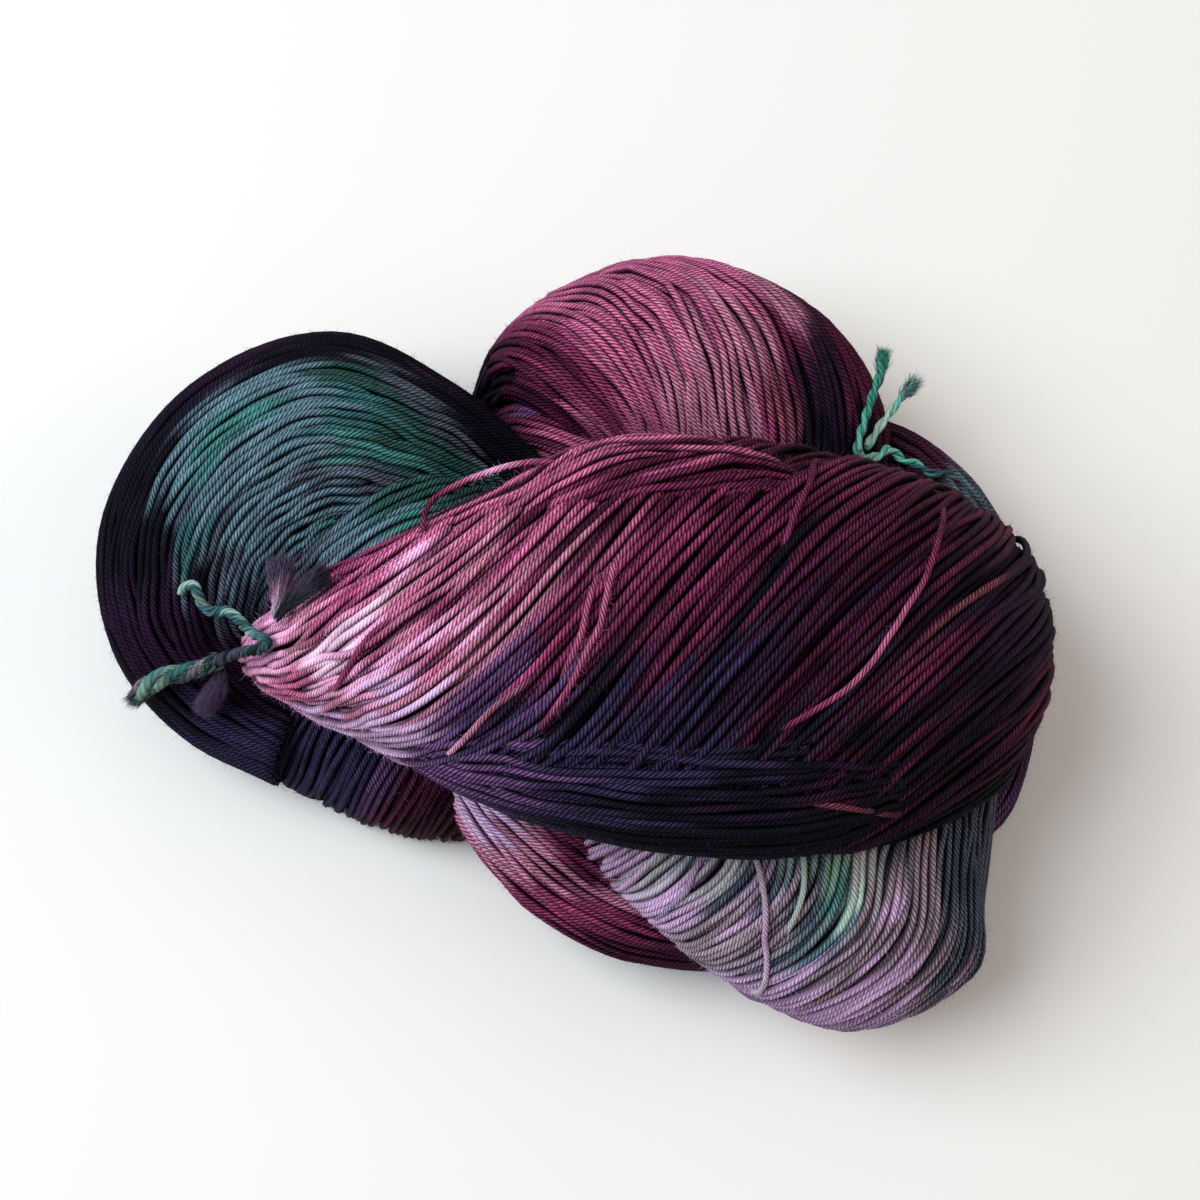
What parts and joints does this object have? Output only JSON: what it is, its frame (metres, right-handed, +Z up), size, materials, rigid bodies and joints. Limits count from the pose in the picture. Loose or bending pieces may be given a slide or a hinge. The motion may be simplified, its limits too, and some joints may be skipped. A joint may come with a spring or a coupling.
{
  "type": "hank of yarn",
  "caption": "Twisted hank of soft plied yarn, folded back on itself in fat ribbed turns, with two cord ties and loose yarn ends, flat where it rests.",
  "frame": {"origin": "the middle of the base: the centre of the bounding box in X and Y, on the surface that the hank rests on", "axes": "+X along the hank's long way, from the left turn to the right end; +Y across it, away from the near side; +Z up"},
  "size_m": [0.155, 0.1256, 0.0729],
  "materials": {
    "plum_yarn": "soft plied wool yarn, hand dyed plum, pink, lilac, navy and teal",
    "teal_cord": "soft two-ply cord, grey teal, frayed at its end",
    "green_cord": "soft two-ply cord, emerald green, frayed at its end",
    "pale_green_cord": "soft two-ply cord, pale green, frayed at its end",
    "violet_tuft": "fluffy untwisted wool fibre, violet",
    "grey_violet_tuft": "fluffy untwisted wool fibre, grey violet"
  },
  "bodies": {
    "root": {"hank": "plum_yarn", "tie_left": "teal_cord", "tie_right": "green_cord", "tie_right_end": "pale_green_cord", "yarn_end_hanging": "violet_tuft", "yarn_end_upright": "grey_violet_tuft"}
  },
  "joints": []
}
